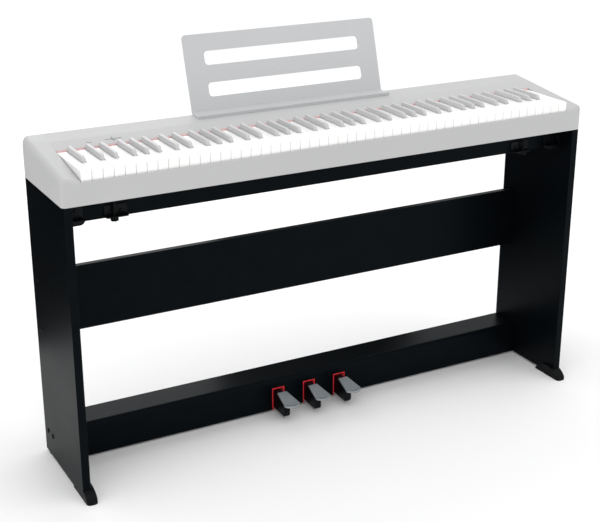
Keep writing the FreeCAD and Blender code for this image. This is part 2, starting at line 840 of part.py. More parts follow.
def make_pedal_box_front():
    front = box(-panel_inner_x, panel_inner_x, box_front_y, box_front_y + board_thickness, panel_lift,
                box_underside)
    y0, y1 = box_front_y - cut_past, box_front_y + board_thickness + cut_past
    for number in range(len(pedal_names)):
        front = front.cut(opening_arch(number, 0, y0, y1))
    return front


def make_pedal_box_back():
    return box(-panel_inner_x, panel_inner_x, panel_rear_y - board_thickness, panel_rear_y, panel_lift,
               box_underside)


def make_pedal_felts():
    """Felt round the sides and top of each opening, a little proud of the board's face."""
    felts = []
    y0, y1 = box_front_y - felt_proud, box_front_y + board_thickness
    for number in range(len(pedal_names)):
        x = pedal_x(number)
        outer = box(x - opening_width / 2, x + opening_width / 2, y0, y1, panel_lift, opening_top)
        felts.append(outer.cut(opening_arch(number, pedal_felt, y0 - cut_past, y1 + cut_past)))
    return group(felts)


def make_corner_bracket():
    """Angle bracket in front of the rail's right end, against the panel, with a rounded lower end."""
    x1 = panel_inner_x
    x0 = x1 - bracket_width
    y1 = rail_front_y
    y0 = y1 - bracket_depth
    top = stand_height - bracket_below_top
    bottom = top - bracket_height
    block = box(x0, x1, y0, y1, bottom, top)
    corner = [e for e in block.Edges if e.BoundBox.ZMax < bottom + pick_slack
              and e.BoundBox.XMax < x0 + pick_slack]
    block = block.makeFillet(bracket_round, corner)
    hollow = box(x0 - cut_past, x1 - bracket_wall, y0 - cut_past, y1 - bracket_wall,
                 bottom + bracket_floor, top + cut_past)
    return block.cut(hollow)


def make_fixing_bracket():
    """Angle plate screwed to the rail's face, its shelf holding the screw that fixes the piano."""
    x0, x1 = fixing_plate_x - fixing_plate_width / 2, fixing_plate_x + fixing_plate_width / 2
    plate = box(x0, x1, rail_front_y - fixing_plate_thickness, rail_front_y,
                fixing_low, fixing_low + fixing_plate_height)
    shelf = box(x0, x1, rail_front_y - fixing_shelf, rail_front_y, fixing_low,
                fixing_low + fixing_plate_thickness)
    corners = [e for e in shelf.Edges if e.BoundBox.ZLength > pick_slack
               and e.BoundBox.YMax < rail_front_y - pick_slack]
    bracket = plate.fuse(shelf.makeFillet(fixing_shelf_round, corners)).removeSplitter()
    hole_foot = (fixing_x, fixing_y, fixing_low - cut_past)
    return bracket.cut(rod(fixing_screw_radius + fixing_hole_clearance, hole_foot, (0, 0, 1),
                           fixing_plate_thickness + 2 * cut_past))


def make_fixing_knob(side):
    """Lobed knob under the shelf, with a long screw up into the piano's bottom plate."""
    x = side * fixing_x
    foot = fixing_low - knob_gap - knob_height
    head = rod(knob_radius, (x, fixing_y, foot), (0, 0, 1), knob_height)
    circle = knob_radius + knob_notch_past_rim
    for n in range(knob_lobes):
        angle = 2 * math.pi * n / knob_lobes
        notch = (x + circle * math.cos(angle), fixing_y + circle * math.sin(angle), foot - cut_past)
        head = head.cut(rod(knob_notch_radius, notch, (0, 0, 1), knob_height + 2 * cut_past))
    screw_foot = fixing_low - knob_screw_root
    screw_length_up = stand_height + bottom_plate - screw_foot
    screw = rod(fixing_screw_radius, (x, fixing_y, screw_foot), (0, 0, 1), screw_length_up)
    return head.fuse(screw).removeSplitter()


def pan_screw(start, direction):
    head = rod(screw_head_radius, start, direction, screw_head_height)
    crown = point(*start) + point(*direction) * screw_head_height
    rim = [e for e in head.Edges if (e.BoundBox.Center - crown).Length < pick_slack]
    tip = point(*start) - point(*direction) * screw_length
    shank = rod(screw_shank_radius, tuple(tip), direction, screw_length)
    return head.makeFillet(screw_head_round, rim).fuse(shank).removeSplitter()


def screw_places():
    """Start point and outward direction of each bracket screw on the right side."""
    plate_y = rail_front_y - fixing_plate_thickness
    z = fixing_low + fixing_plate_height * fixing_screw_share
    corner_z = stand_height - corner_screw_below_top
    half = fixing_screw_spacing / 2
    x0, x1 = fixing_plate_x - half, fixing_plate_x + half
    return (((x0, plate_y, z), (0, -1, 0)), ((x1, plate_y, z), (0, -1, 0)),
            ((panel_inner_x - corner_screw_from_panel, rail_front_y - bracket_wall, corner_z), (0, -1, 0)),
            ((panel_inner_x - bracket_wall, rail_front_y - corner_screw_from_rail, corner_z), (-1, 0, 0)))


def make_bracket_screws():
    right = [pan_screw(start, direction) for start, direction in screw_places()]
    return group(right + [mirrored(screw) for screw in right])


def screw_holes(part):
    for screw in make_bracket_screws().Solids:
        part = part.cut(screw)
    return part


# --- Pedals ----------------------------------------------------------------------------------------
def plate_underside(y):
    """Height of the tilted plate's underside above y."""
    lift = (y - plate_rear_y) * math.tan(math.radians(plate_tilt))
    return lever_top - plate_thickness / math.cos(math.radians(plate_tilt)) + lift


def make_lever(number):
    """Cast lever: low curved nose under the plate, waist behind the front board, boss on the axle."""
    x0 = pedal_x(number) + lever_offset - lever_width / 2
    nose_y = plate_rear_y - plate_length + plate_overhang
    waist_y = box_front_y + board_thickness + lever_waist_from_board
    step_y = plate_rear_y + plate_thickness * math.sin(math.radians(plate_tilt))
    corners = [(pedal_pivot_y, lever_top), (plate_rear_y, lever_top), (step_y, plate_underside(step_y)),
               (nose_y, plate_underside(nose_y)), (nose_y, lever_bottom),
               (box_front_y, lever_bottom + lever_heel_rise), (waist_y, lever_bottom + lever_waist_rise),
               (waist_y + lever_waist_run, lever_waist),
               (pedal_pivot_y, lever_waist)]
    lever = side_prism(corners, x0, x0 + lever_width)
    toe = [e for e in lever.Edges if e.BoundBox.XLength > pick_slack
           and e.BoundBox.ZMax < lever_bottom + pick_slack and e.BoundBox.YMax < nose_y + pick_slack]
    lever = lever.makeFillet(lever_toe_radius, toe)
    nose = [e for e in lever.Edges if e.BoundBox.ZLength > lever_nose_radius
            and e.BoundBox.YMax < nose_y + pick_slack and e.BoundBox.XLength < pick_slack]
    lever = lever.makeFillet(lever_nose_radius, nose)
    boss = rod(pedal_boss_radius, (x0, pedal_pivot_y, pedal_pivot_height), (1, 0, 0), lever_width)
    lever = lever.fuse(boss).removeSplitter()
    bore_start = (x0 - cut_past, pedal_pivot_y, pedal_pivot_height)
    return lever.cut(rod(axle_radius + running_clearance, bore_start, (1, 0, 0), lever_width + 2 * cut_past))


def toe_groove(half_front):
    """A shallow curved groove that follows the plate's toe a little way behind it."""
    radius = (half_front ** 2 + plate_toe_bulge ** 2) / (2 * plate_toe_bulge)
    centre = (0, radius - plate_length, -plate_groove_depth)
    outer = rod(radius - plate_groove_from_toe, centre, (0, 0, 1), plate_groove_depth + cut_past)
    inner = rod(radius - plate_groove_from_toe - plate_groove_width, centre, (0, 0, 1),
                plate_groove_depth + cut_past)
    reach = half_front - plate_groove_reach
    front = box(-reach, reach, -plate_length, plate_toe_bulge - plate_length, -plate_groove_depth, cut_past)
    return outer.cut(inner).common(front)


def make_plate(number):
    """Metal foot plate, narrow at the back and wide and rounded at the toe."""
    half_rear, half_front = plate_rear_width / 2, plate_front_width / 2
    straight = plate_length - plate_toe_bulge
    rear_left, rear_right = point(-half_rear, 0, 0), point(half_rear, 0, 0)
    front_left, front_right = point(-half_front, -straight, 0), point(half_front, -straight, 0)
    outline = [Part.LineSegment(rear_left, rear_right), Part.LineSegment(rear_right, front_right),
               Part.Arc(front_right, point(0, -plate_length, 0), front_left),
               Part.LineSegment(front_left, rear_left)]
    face = Part.Face(Part.Wire([line.toShape() for line in outline]))
    plate = face.extrude(point(0, 0, -plate_thickness))
    uprights = [e for e in plate.Edges if e.BoundBox.ZLength > pick_slack and e.BoundBox.YMax < -pick_slack]
    plate = plate.makeFillet(plate_corner_radius, uprights)
    rim = [e for e in plate.Edges if e.BoundBox.ZMin > -pick_slack]
    plate = plate.makeFillet(plate_edge_round, rim)
    plate = plate.cut(toe_groove(half_front))
    plate.rotate(origin(), point(1, 0, 0), plate_tilt)
    plate.translate(point(pedal_x(number), plate_rear_y, lever_top))
    return plate


def make_spring(number):
    """Coil spring between the frame's floor and the lever, its ends cut flat."""
    foot = panel_lift + frame_wall
    height = lever_waist - foot
    y = pedal_pivot_y - spring_from_pivot
    lift = spring_wire_radius
    helix = Part.makeHelix((height - 2 * lift) / spring_turns, height - 2 * lift, spring_coil_radius)
    ring = Part.Wire([Part.makeCircle(spring_wire_radius, point(spring_coil_radius, 0, 0), point(0, 1, 0))])
    coil = Part.Wire(helix.Edges).makePipeShell([ring], True, True)
    coil.translate(point(pedal_x(number) + lever_offset, y, foot + lift))
    return coil


def ear_places():
    step = pedal_pitch / 2
    return (-3 * step, -step, step, 3 * step)


def make_pedal_frame():
    """Bent steel frame: floor, back plate and four ears that carry the axle and the sensor board.

    Its floor starts behind the levers' waist, where a pressed lever stays well above it.
    """
    x0, x1 = ear_places()[0] - frame_wall, ear_places()[-1] + frame_wall
    back_y = panel_rear_y - board_thickness
    front = box_front_y + board_thickness + lever_waist_from_board + lever_waist_run
    floor = box(x0, x1, front, back_y, panel_lift, panel_lift + frame_wall)
    back = box(x0, x1, back_y - frame_wall, back_y, panel_lift, sensor_board_z)
    frame = floor.fuse(back)
    for x in ear_places():
        ear = box(x - frame_wall / 2, x + frame_wall / 2, pedal_pivot_y - ear_ahead_of_pivot, back_y,
                  panel_lift, sensor_board_z)
        frame = frame.fuse(ear)
    frame = frame.removeSplitter()
    return frame.cut(rod(axle_radius, (x0 - axle_end, pedal_pivot_y, pedal_pivot_height), (1, 0, 0),
                         x1 - x0 + 2 * axle_end))


def make_pedal_axle():
    half = ear_places()[-1] + frame_wall + axle_end
    return rod(axle_radius, (-half, pedal_pivot_y, pedal_pivot_height), (1, 0, 0), 2 * half)


def make_sensor_board():
    """Circuit board on top of the ears, with a sensor hanging over each lever."""
    half = ear_places()[-1]
    y0, y1 = pedal_pivot_y - ear_ahead_of_pivot, panel_rear_y - board_thickness - frame_gap
    board = box(-half, half, y0, y1, sensor_board_z, sensor_board_z + circuit_board_thickness)
    sensor_y = y0 + sensor_from_edge
    for number in range(len(pedal_names)):
        x = pedal_x(number)
        board = board.fuse(box(x - sensor_half_width, x + sensor_half_width, sensor_y,
                               sensor_y + sensor_length, sensor_board_z - sensor_height, sensor_board_z))
    return board.removeSplitter()


def socket_barrel(radius):
    length = board_thickness + pedal_socket_inside
    return rod(radius, (pedal_socket_x, panel_rear_y - length, pedal_socket_z), (0, 1, 0), length)


def make_pedal_box_socket():
    bore = rod(pedal_socket_bore, (pedal_socket_x, panel_rear_y - pedal_socket_bore_depth, pedal_socket_z),
               (0, 1, 0), pedal_socket_bore_depth + cut_past)
    return socket_barrel(pedal_socket_radius).cut(bore)


# --- Everything together ---------------------------------------------------------------------------
def make_all():
    shapes["bottom_case"] = make_bottom_case()
    shapes["rear_cover"] = make_rear_cover()
    shapes["top_panel"] = make_top_panel()
    shapes["right_cheek"] = make_right_cheek()
    shapes["left_cheek"] = mirrored(shapes["right_cheek"])
    shapes["key_slip"] = make_key_slip()
    shapes["key_felt"] = make_key_felt()
    make_keyboard()
    shapes["keybed"] = make_keybed()
    shapes["key_pivot_rod"] = make_key_pivot_rod()
    shapes["key_contact_strip"] = make_contact_strip()
    shapes["speakers"] = make_speakers()
    shapes["main_board"] = make_main_board()
    shapes["rear_jacks"] = make_rear_jacks()
    shapes["power_button"] = make_power_button()
    shapes["volume_slider"] = make_volume_slider()
    shapes["music_rest"] = make_music_rest()
    shapes["right_side_panel"] = screw_holes(bolt_holes(make_right_panel()))
    shapes["left_side_panel"] = mirrored(shapes["right_side_panel"])
    shapes["back_board"] = bolt_holes(make_back_board())
    shapes["upper_rail"] = screw_holes(make_upper_rail())
    shapes["pedal_box_top"] = bolt_holes(make_pedal_box_top())
    shapes["pedal_box_front"] = make_pedal_box_front()
    shapes["pedal_box_back"] = make_pedal_box_back().cut(socket_barrel(pedal_socket_radius))
    shapes["pedal_box_socket"] = make_pedal_box_socket()
    shapes["pedal_felts"] = make_pedal_felts()
    shapes["stand_feet"] = make_stand_feet()
    shapes["panel_bolts"] = make_panel_bolts()
    corner = screw_holes(make_corner_bracket())
    shapes["corner_brackets"] = group([corner, mirrored(corner)])
    fixing = screw_holes(make_fixing_bracket())
    shapes["fixing_brackets"] = group([fixing, mirrored(fixing)])
    shapes["bracket_screws"] = make_bracket_screws()
    shapes["left_fixing_knob"] = make_fixing_knob(-1)
    shapes["right_fixing_knob"] = make_fixing_knob(1)
    for number, name in enumerate(pedal_names):
        shapes[name + "_pedal_lever"] = make_lever(number)
        shapes[name + "_pedal_plate"] = make_plate(number)
        shapes[name + "_pedal_spring"] = make_spring(number)
    shapes["pedal_frame"] = make_pedal_frame()
    shapes["pedal_axle"] = make_pedal_axle()
    shapes["pedal_sensor_board"] = make_sensor_board()


def lift_piano():
    """The piano's parts are drawn from its own underside, then set on the stand."""
    on_stand = ["bottom_case", "rear_cover", "top_panel", "right_cheek", "left_cheek", "keybed", "speakers",
                "main_board", "rear_jacks", "power_button", "volume_slider", "music_rest"]
    on_stand += [name for name in shapes if name.startswith("key_") or name.endswith("_keys")]
    for name in on_stand:
        shapes[name].translate(point(0, 0, stand_height))


def centre_footprint():
    """Moves everything along Y so that the origin is the middle of the whole object's depth."""
    low = min(shape.BoundBox.YMin for shape in shapes.values())
    high = max(shape.BoundBox.YMax for shape in shapes.values())
    for shape in shapes.values():
        shape.translate(point(0, -(low + high) / 2, 0))


make_all()
lift_piano()
centre_footprint()
os.makedirs("parts", exist_ok=True)
for name, shape in shapes.items():
    shape.exportStep(os.path.join("parts", name + ".step"))
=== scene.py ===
import json
import math

import bmesh
import bpy
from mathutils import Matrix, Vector


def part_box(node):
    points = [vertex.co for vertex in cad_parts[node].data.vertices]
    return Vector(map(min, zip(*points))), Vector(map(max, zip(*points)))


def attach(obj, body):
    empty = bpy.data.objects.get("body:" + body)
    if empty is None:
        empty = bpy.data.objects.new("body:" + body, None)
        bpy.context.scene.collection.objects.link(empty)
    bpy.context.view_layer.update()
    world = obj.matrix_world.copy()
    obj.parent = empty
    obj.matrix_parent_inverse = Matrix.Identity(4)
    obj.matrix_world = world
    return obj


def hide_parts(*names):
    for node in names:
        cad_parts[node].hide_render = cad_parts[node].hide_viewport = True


# A digital piano on a black board stand. Metres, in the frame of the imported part.

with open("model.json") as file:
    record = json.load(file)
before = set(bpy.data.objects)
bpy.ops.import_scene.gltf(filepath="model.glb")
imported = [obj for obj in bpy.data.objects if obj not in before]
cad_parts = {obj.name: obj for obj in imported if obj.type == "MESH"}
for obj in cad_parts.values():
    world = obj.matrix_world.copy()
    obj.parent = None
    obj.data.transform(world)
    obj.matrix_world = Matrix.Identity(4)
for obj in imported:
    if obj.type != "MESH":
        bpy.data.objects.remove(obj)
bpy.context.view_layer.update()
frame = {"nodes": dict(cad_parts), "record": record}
nodes = frame["nodes"]
record = frame["record"]

ROOT = "stand_and_case"
MM = 0.001
SHARPS = ("key_c_sharp", "key_d_sharp", "key_f_sharp", "key_g_sharp", "key_a_sharp")


# --- Camera, light and floor ------------------------------------------------------------------------
CAMERA_PLACE = Vector((-1.3601, -2.4371, 1.4455))
CAMERA_AIM = Vector((0.44424, 0.82340, -0.35309))
CAMERA_LENS = 75.34
SENSOR_WIDTH = 36.0

# Name, place, aim, width, height and power of each softbox.
WORLD_STRENGTH = 1.1
SOFTBOXES = (
    ("overhead_softbox", (0.2, -0.6, 3.2), (0.0, 0.0, 0.5), 2.6, 1.6, 12.0),
    ("low_left_softbox", (-2.4, -0.1, 0.15), (-0.65, 0.0, 0.1), 1.0, 0.5, 3.0),
    ("back_softbox", (0.3, 3.0, 1.8), (-0.3, 0.0, 0.3), 2.0, 1.2, 12.0),
)
# Name, two ends in X, place in Y and top of each upright card.
DARK_CARDS = (
    ("left_dark_card", -2.6, -0.68, 0.68, 1.3),
    ("right_dark_card", -0.05, 0.6, 0.48, 0.7),
)
CARD_TONE = 0.004
FLOOR_HALF = 14.0
FLOOR_TONE = 0.92


def place_camera():
    data = bpy.data.cameras.new("camera")
    data.lens = CAMERA_LENS
    data.sensor_width = SENSOR_WIDTH
    camera = bpy.data.objects.new("camera", data)
    bpy.context.scene.collection.objects.link(camera)
    camera.location = CAMERA_PLACE
    camera.rotation_mode = "QUATERNION"
    camera.rotation_quaternion = CAMERA_AIM.to_track_quat("-Z", "Y")
    bpy.context.scene.camera = camera


def add_softbox(name, place, aim, width, height, power):
    data = bpy.data.lights.new(name, "AREA")
    data.shape = "RECTANGLE"
    data.size = width
    data.size_y = height
    data.energy = power
    light = bpy.data.objects.new(name, data)
    bpy.context.scene.collection.objects.link(light)
    light.location = place
    light.rotation_mode = "QUATERNION"
    light.rotation_quaternion = (Vector(aim) - Vector(place)).to_track_quat("-Z", "Y")


def light_studio():
    world = bpy.data.worlds.new("studio")
    bpy.context.scene.world = world
    world.use_nodes = True
    background = world.node_tree.nodes["Background"]
    background.inputs["Color"].default_value = (1.0, 1.0, 1.0, 1.0)
    background.inputs["Strength"].default_value = WORLD_STRENGTH
    for softbox in SOFTBOXES:
        add_softbox(*softbox)
    bpy.context.scene.view_settings.view_transform = "Standard"


def stage_material(name, tone, roughness, specular):
    """A plain grey material for what stands round the piano."""
    material = new_material(name)
    shader = material.node_tree.nodes["Principled BSDF"]
    shader.inputs["Base Color"].default_value = (tone, tone, tone, 1.0)
    shader.inputs["Roughness"].default_value = roughness
    shader.inputs["Specular IOR Level"].default_value = specular
    return material


def stage_sheet(name, corners, material):
    """A flat four-cornered sheet that belongs to the studio, not to the piano."""
    mesh = bpy.data.meshes.new(name)
    mesh.from_pydata(corners, [], [(0, 1, 2, 3)])
    mesh.materials.append(material)
    sheet = bpy.data.objects.new(name, mesh)
    bpy.context.scene.collection.objects.link(sheet)
    return sheet


def stand_dark_cards():
    """Two black cards behind the stand, seen only in the gloss of the side panels' upper halves."""
    material = stage_material("matte_black_card", CARD_TONE, 1.0, 0.0)
    for name, x0, x1, y, top in DARK_CARDS:
        card = stage_sheet(name, [(x0, y, 0.0), (x1, y, 0.0), (x1, y, top), (x0, y, top)], material)
        card.visible_camera = False
        card.visible_diffuse = False
        card.visible_shadow = False


def lay_floor():
    half = FLOOR_HALF
    corners = [(-half, -half, 0), (half, -half, 0), (half, half, 0), (-half, half, 0)]
    floor = stage_sheet("studio_floor", corners, stage_material("pale_floor", FLOOR_TONE, 0.9, 0.1))


# --- Materials ---------------------------------------------------------------------------------------
def new_material(name):
    material = bpy.data.materials.new(name)
    material.use_nodes = True
    return material


class Finish:
    """A material being built: its shader, and short ways to add the nodes that feed it."""

    def __init__(self, name, roughness, specular=0.5, metallic=0.0):
        self.material = new_material(name)
        self.tree = self.material.node_tree
        self.shader = self.tree.nodes["Principled BSDF"]
        self.shader.inputs["Roughness"].default_value = roughness
        self.shader.inputs["Specular IOR Level"].default_value = specular
        self.shader.inputs["Metallic"].default_value = metallic
        self.coordinates = self.tree.nodes.new("ShaderNodeTexCoord")

    def link(self, source, target):
        self.tree.links.new(source, target)

    def stretched(self, scale):
        mapping = self.tree.nodes.new("ShaderNodeMapping")
        mapping.inputs["Scale"].default_value = scale
        self.link(self.coordinates.outputs["Object"], mapping.inputs["Vector"])
        return mapping.outputs["Vector"]

    def noise(self, scale, detail=3.0, stretch=(1, 1, 1), roughness=0.55):
        node = self.tree.nodes.new("ShaderNodeTexNoise")
        node.inputs["Scale"].default_value = scale
        node.inputs["Detail"].default_value = detail
        node.inputs["Roughness"].default_value = roughness
        self.link(self.stretched(stretch), node.inputs["Vector"])
        return node.outputs["Fac"]

    def ramp(self, source, stops):
        node = self.tree.nodes.new("ShaderNodeValToRGB")
        elements = node.color_ramp.elements
        for _ in range(len(stops) - 2):
            elements.new(0.5)
        for element, (place, colour) in zip(elements, stops):
            element.position = place
            element.color = (*colour, 1.0)
        self.link(source, node.inputs["Fac"])
        return node.outputs["Color"]

    def span(self, source, low, high):
        node = self.tree.nodes.new("ShaderNodeMapRange")
        node.inputs["To Min"].default_value = low
        node.inputs["To Max"].default_value = high
        self.link(source, node.inputs["Value"])
        return node.outputs["Result"]

    def colour(self, source):
        self.link(source, self.shader.inputs["Base Color"])

    def rough(self, source, low, high):
        self.link(self.span(source, low, high), self.shader.inputs["Roughness"])

    def bump(self, source, strength, distance):
        node = self.tree.nodes.new("ShaderNodeBump")
        node.inputs["Strength"].default_value = strength
        node.inputs["Distance"].default_value = distance
        self.link(source, node.inputs["Height"])
        self.link(node.outputs["Normal"], self.shader.inputs["Normal"])


def shade(tone, factor):
    return tuple(channel * factor for channel in tone)


def black_laminate():
    """Satin black foil with a faint pressed grain along each board."""
    finish = Finish("black_laminate", 0.36, specular=0.05)
    finish.shader.inputs["Specular Tint"].default_value = (0.8, 0.93, 1.0, 1.0)
    tone = (0.0016, 0.0026, 0.0036)
    grain = finish.noise(90.0, 4.0, (0.25, 3.0, 0.25))
    finish.colour(finish.ramp(grain, [(0.3, shade(tone, 0.8)), (0.7, shade(tone, 1.25))]))
    cloud = finish.noise(6.0, 2.0)
    finish.rough(cloud, 0.33, 0.41)
    finish.bump(grain, 0.08, 0.0003)
    return finish.material


def case_plastic(name, tone, roughness=0.5, specular=0.25):
    """Fine-textured moulded plastic."""
    finish = Finish(name, roughness, specular)
    cloud = finish.noise(4.0, 2.0)
    finish.colour(finish.ramp(cloud, [(0.3, shade(tone, 0.985)), (0.7, shade(tone, 1.015))]))
    spark = finish.noise(900.0, 2.0)
    finish.rough(spark, roughness - 0.06, roughness + 0.06)
    finish.bump(spark, 0.1, 0.0002)
    return finish.material


def white_key_plastic():
    finish = Finish("white_key", 0.22, specular=0.5)
    finish.shader.inputs["Coat Weight"].default_value = 0.25
    cloud = finish.noise(3.0, 2.0)
    finish.colour(finish.ramp(cloud, [(0.35, (0.93, 0.93, 0.92)), (0.65, (0.96, 0.96, 0.95))]))
    finish.rough(finish.noise(40.0, 3.0), 0.18, 0.28)
    return finish.material


def felt(name, tone):
    finish = Finish(name, 0.95, specular=0.1)
    finish.shader.inputs["Sheen Weight"].default_value = 0.4
    fibres = finish.noise(1600.0, 4.0, (1, 1, 1), 0.75)
    finish.colour(finish.ramp(fibres, [(0.3, shade(tone, 0.7)), (0.7, shade(tone, 1.2))]))
    finish.bump(fibres, 0.6, 0.0006)
    return finish.material


def cast_silver():
    """Bead-blasted metal of the foot plates."""
    finish = Finish("pedal_silver", 0.38, metallic=0.85)
    grit = finish.noise(700.0, 3.0)
    finish.colour(finish.ramp(grit, [(0.3, (0.25, 0.28, 0.3)), (0.7, (0.42, 0.45, 0.47))]))
    finish.rough(grit, 0.3, 0.5)
    finish.bump(grit, 0.25, 0.0003)
    return finish.material


def black_paint():
    finish = Finish("black_paint", 0.3, specular=0.1)
    peel = finish.noise(260.0, 3.0)
    finish.colour(finish.ramp(peel, [(0.3, (0.002, 0.0028, 0.0036)), (0.7, (0.004, 0.005, 0.006))]))
    finish.rough(peel, 0.26, 0.38)
    finish.bump(peel, 0.15, 0.0003)
    return finish.material


def zinc():
    finish = Finish("zinc_steel", 0.35, metallic=1.0)
    flake = finish.noise(220.0, 3.0)
    finish.colour(finish.ramp(flake, [(0.3, (0.42, 0.43, 0.44)), (0.7, (0.62, 0.63, 0.64))]))
    finish.rough(flake, 0.28, 0.42)
    return finish.material


def circuit_green():
    finish = Finish("circuit_board", 0.4, specular=0.5)
    trace = finish.noise(240.0, 1.0, (1, 4, 1))
    finish.colour(finish.ramp(trace, [(0.48, (0.008, 0.09, 0.03)), (0.52, (0.02, 0.17, 0.06))]))
    finish.bump(trace, 0.2, 0.0002)
    return finish.material


def make_finishes():
    grey = (0.485, 0.486, 0.49)
    return {
        "black_laminate": black_laminate(),
        "grey_case": case_plastic("grey_case", grey),
        "grey_rest": case_plastic("grey_rest", (0.505, 0.515, 0.525), 0.45),
        "white_key": white_key_plastic(),
        "grey_sharp": case_plastic("grey_sharp", (0.53, 0.53, 0.535), 0.4),
        "key_felt": felt("key_felt", (0.92, 0.6, 0.6)),
        "pedal_felt": felt("pedal_felt", (0.8, 0.008, 0.02)),
        "pedal_silver": cast_silver(),
        "black_paint": black_paint(),
        "zinc_steel": zinc(),
        "black_plastic": case_plastic("black_plastic", (0.003, 0.0035, 0.004), 0.4, 0.08),
        "dark_chassis": case_plastic("dark_chassis", (0.06, 0.06, 0.062), 0.6),
        "grey_rubber": case_plastic("grey_rubber", (0.2, 0.2, 0.2), 0.8),
        "speaker_black": case_plastic("speaker_black", (0.02, 0.02, 0.021), 0.7),
        "circuit_board": circuit_green(),
    }


def dress_cad_nodes(finishes):
    for row in record["subparts"]:
        node = nodes[row["node"]]
        node.data.materials.clear()
        node.data.materials.append(finishes[row["material_slot"]])


# --- Shaped pieces -----------------------------------------------------------------------------------
CHEEK_TOP_ROUND = 14 * MM
CHEEK_FRONT_ROUND = 10 * MM
CHEEK_REAR_ROUND = 16 * MM
CHEEK_NOSE = 8 * MM
CHEEK_BACK_BEND = 12 * MM
CHEEK_INNER_DROP = 12.5 * MM
FASCIA_FROM_FRONT = 157.7 * MM
FASCIA_BELOW_TOP = 9.6 * MM
FASCIA_DROP = 4.7 * MM       # how much lower the cheek is at the fascia's foot, beside the keys
CREASE_FROM_FRONT = 197.7 * MM
CREASE_BELOW_TOP = 5.4 * MM
NOSE_BELOW_TOP = 25.4 * MM
SHARP_TAIL = 69 * MM         # the thin shank behind a black key's visible part
SHARP_SHANK_BELOW_TOP = 16.5 * MM
SHARP_ABOVE_WHITE = 11.5 * MM
SHARP_TOP_HALF = 4.1 * MM
SHARP_CROWN = 1.5 * MM
SMOOTH_ANGLE = math.radians(40)
SOFT_BEND_STEPS = 4
SOCKET_SIDES = 6


def keep_piece(name, mesh, material, body, replaced=()):
    """Puts a finished mesh in the scene, riding on its body and standing for the CAD nodes it replaces."""
    mesh.name = name
    mesh.materials.clear()
    mesh.materials.append(material)
    for face in mesh.polygons:
        face.use_smooth = True
    mesh.set_sharp_from_angle(angle=SMOOTH_ANGLE)
    piece = bpy.data.objects.new(name, mesh)
    bpy.context.scene.collection.objects.link(piece)
    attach(piece, body)
    if replaced:
        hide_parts(*replaced)
    return piece


def mesh_from(build):
    """A mesh made by a function that fills a bmesh."""
    shape = bmesh.new()
    build(shape)
    bmesh.ops.recalc_face_normals(shape, faces=shape.faces)
    mesh = bpy.data.meshes.new("piece")
    shape.to_mesh(mesh)
    shape.free()
    return mesh


def skin(shape, rings):
    """Joins rings of points one after another, and closes both ends."""
    rows = [[shape.verts.new(place) for place in ring] for ring in rings]
    count = len(rows[0])
    for near, far in zip(rows, rows[1:]):
        for n in range(count):
            shape.faces.new((near[n], near[(n + 1) % count], far[(n + 1) % count], far[n]))
    shape.faces.new(rows[0])
    shape.faces.new(rows[-1])


def solid_boxes(node):
    """The lowest and highest corner of each separate solid in a CAD node."""
    shape = bmesh.new()
    shape.from_mesh(nodes[node].data)
    bmesh.ops.remove_doubles(shape, verts=shape.verts, dist=0.01 * MM)
    waiting = set(shape.verts)
    boxes = []
    while waiting:
        edge_of_island = [waiting.pop()]
        island = list(edge_of_island)
        while edge_of_island:
            vertex = edge_of_island.pop()
            for edge in vertex.link_edges:
                other = edge.other_vert(vertex)
                if other in waiting:
                    waiting.remove(other)
                    edge_of_island.append(other)
                    island.append(other)
        places = [vertex.co for vertex in island]
        boxes.append((Vector([min(p[i] for p in places) for i in range(3)]),
                      Vector([max(p[i] for p in places) for i in range(3)])))
    shape.free()
    return sorted(boxes, key=lambda box: tuple(box[0]))


def drawn_in(radius, distance):
    """How far a rounded edge has drawn in at a distance from the flat face it leads to."""
    if distance >= radius:
        return 0.0
    return radius - math.sqrt(radius ** 2 - (radius - distance) ** 2)


def arc(centre, radius, start, end, steps=SOFT_BEND_STEPS):
    turns = [start + (end - start) * n / steps for n in range(steps + 1)]
    return [(centre[0] + radius * math.cos(turn), centre[1] + radius * math.sin(turn)) for turn in turns]


def cheek_ring(low, high, inner_x, outer_x, x):
    """One slice of an end cheek at x: its top lower beside the keys, its outer edges rounded."""
    blend = (x - inner_x) / (outer_x - inner_x)
    edge = abs(outer_x - x)
    drop = CHEEK_INNER_DROP * (1 - blend)
    front = low.y + drawn_in(CHEEK_FRONT_ROUND, edge)
    rear = high.y - drawn_in(CHEEK_REAR_ROUND, edge)
    top = high.z - drawn_in(CHEEK_TOP_ROUND, edge)
    nose_z = top - NOSE_BELOW_TOP - drop - CHEEK_NOSE
    outline = [(front, low.z)]
    outline += arc((front + CHEEK_NOSE, nose_z), CHEEK_NOSE, math.pi, math.pi / 2)
    outline.append((low.y + FASCIA_FROM_FRONT, top - FASCIA_BELOW_TOP - FASCIA_DROP * (1 - blend)))
    outline.append((low.y + CREASE_FROM_FRONT, top - CREASE_BELOW_TOP))
    outline += arc((rear - CHEEK_BACK_BEND, top - CHEEK_BACK_BEND), CHEEK_BACK_BEND, math.pi / 2, 0)
    outline.append((rear, low.z))
    return [(x, y, z) for y, z in outline]


def mould_cheeks(finish):
    for side in ("left", "right"):
        low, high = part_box(side + "_cheek")
        low, high = Vector(low), Vector(high)
        inner_x, outer_x = (high.x, low.x) if side == "left" else (low.x, high.x)
        outward = 1 if outer_x > inner_x else -1
        widest = max(CHEEK_REAR_ROUND, CHEEK_FRONT_ROUND)
        count = 2 * SOFT_BEND_STEPS
        steps = [1 - math.cos(math.pi / 2 * n / count) for n in range(count, 0, -1)]
        slices = [inner_x] + [outer_x - outward * widest * step for step in steps] + [outer_x]
        rings = [cheek_ring(low, high, inner_x, outer_x, x) for x in slices]
        mesh = mesh_from(lambda shape: skin(shape, rings))
        keep_piece(side + "_cheek_moulding", mesh, finish, ROOT, (side + "_cheek",))


